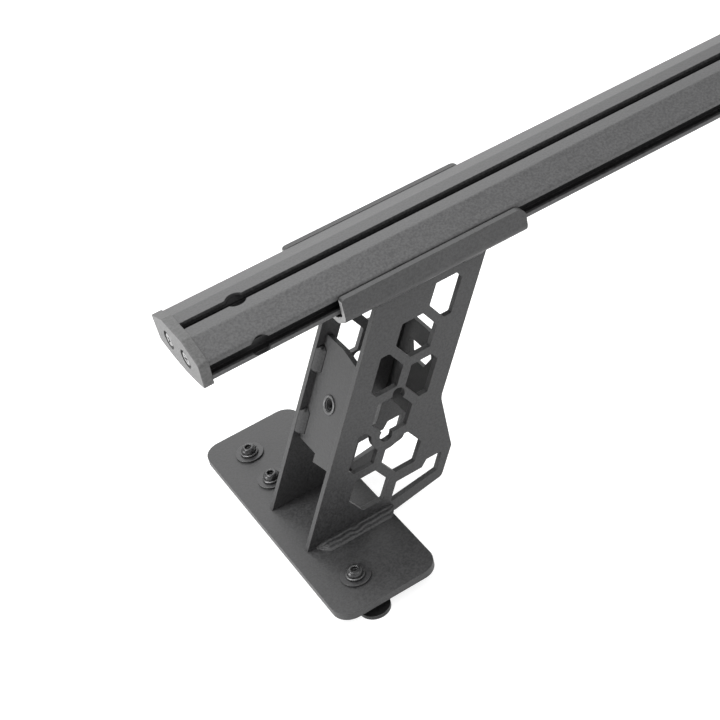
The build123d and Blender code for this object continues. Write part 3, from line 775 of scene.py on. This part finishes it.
for riser in ("left", "right"):
    place_beads(riser)
    insert = insert_mesh(riser + "_insert", riser)
    place_on_riser(
        riser + "_insert", insert, spring_black, riser, riser + "_threaded_insert"
    )
    insert.materials.append(left_bore_black if riser == "left" else right_bore_black)
    place_on_riser(
        riser + "_bolts", base_bolt_mesh(riser + "_bolts", riser), fastener_black,
        riser, riser + "_base_bolts",
    )
    place_on_riser(
        riser + "_spring_washers", spring_washer_mesh(riser + "_spring_washers", riser), spring_black,
        riser, riser + "_lock_washers",
    )


# Studio


def studio_floor():
    """Pale floor lit from within like a light table, curved up at its edges to hide the horizon."""
    half_size = 7.0
    flat_radius = 4.0
    rise_rate = 0.12
    drop = 0.0002
    steps = 56
    shape = bmesh.new()
    grid = []
    for i in range(steps + 1):
        row = []
        for j in range(steps + 1):
            x = half_size * (2 * i / steps - 1)
            y = half_size * (2 * j / steps - 1)
            far = max(0.0, math.hypot(x, y) - flat_radius)
            row.append(shape.verts.new((x, y, -drop + rise_rate * far * far)))
        grid.append(row)
    for i in range(steps):
        for j in range(steps):
            shape.faces.new((grid[i][j], grid[i + 1][j], grid[i + 1][j + 1], grid[i][j + 1]))
    mesh = bpy.data.meshes.new("studio_floor")
    shape.to_mesh(mesh)
    shape.free()
    for face in mesh.polygons:
        face.use_smooth = True
    floor = bpy.data.objects.new("studio_floor", mesh)
    bpy.context.scene.collection.objects.link(floor)
    material, tree, out = blank_material("pale_floor")
    slow = place_group(tree, mottle, Scale=2.0)
    colour = tone_mix(tree, (0.44, 0.44, 0.44), (0.48, 0.48, 0.48), slow["Tone"])
    shader = put(
        tree, "BsdfPrincipled",
        {
            "Base Color": colour,
            "Roughness": 0.8,
            "Emission Color": (1.0, 1.0, 1.0, 1.0),
            "Emission Strength": 0.76,
        },
    )
    tree.links.new(shader.outputs[0], out.inputs[0])
    mesh.materials.append(material)


def studio_light(name, place, aim, size, power):
    """Soft square light that looks at a point."""
    lamp = bpy.data.lights.new(name, "AREA")
    lamp.shape = "SQUARE"
    lamp.size = size
    lamp.energy = power
    lamp_object = bpy.data.objects.new(name, lamp)
    lamp_object.location = place
    lamp_object.rotation_euler = (Vector(aim) - Vector(place)).to_track_quat("-Z", "Y").to_euler()
    bpy.context.scene.collection.objects.link(lamp_object)


def studio_air():
    """Even pale light from all round."""
    world = bpy.data.worlds.new("studio_air")
    world.use_nodes = True
    background = world.node_tree.nodes["Background"]
    background.inputs["Color"].default_value = (1.0, 1.0, 1.0, 1.0)
    background.inputs["Strength"].default_value = 0.9
    bpy.context.scene.world = world


def photo_camera():
    """Camera at the photograph's place and angle; its focal length is in the photograph's pixels."""
    photo_width = 720
    focal_length = 1553.288
    place = (-0.971679, -0.881340, 0.872992)
    right = Vector((0.846663, -0.496129, -0.192401))
    up = Vector((0.447581, 0.468403, 0.761754))
    back = Vector((-0.287807, -0.731064, 0.618638))
    lens = bpy.data.cameras.new("photo_camera")
    lens.sensor_width = 36.0
    lens.lens = focal_length / photo_width * lens.sensor_width
    lens.clip_start = 0.02
    lens.clip_end = 60.0
    camera = bpy.data.objects.new("photo_camera", lens)
    turn = Matrix((right, up, back)).transposed().to_4x4()
    camera.matrix_world = Matrix.Translation(place) @ turn
    bpy.context.scene.collection.objects.link(camera)
    bpy.context.scene.camera = camera


studio_floor()
studio_light("key_above_left", (-1.7, 0.9, 3.1), (-0.5, 0.0, 0.1), 1.4, 80.0)
studio_light("panel_rear", (0.5, 2.9, 2.3), (-0.3, 0.0, 0.1), 2.4, 43.0)
studio_light("side_left", (-2.8, 0.5, 0.6), (-0.7, 0.0, 0.15), 0.9, 26.0)
studio_light("fill_front", (0.6, -2.3, 2.6), (-0.1, 0.0, 0.1), 2.0, 16.0)
studio_air()
photo_camera()
bpy.context.scene.view_settings.view_transform = "Standard"
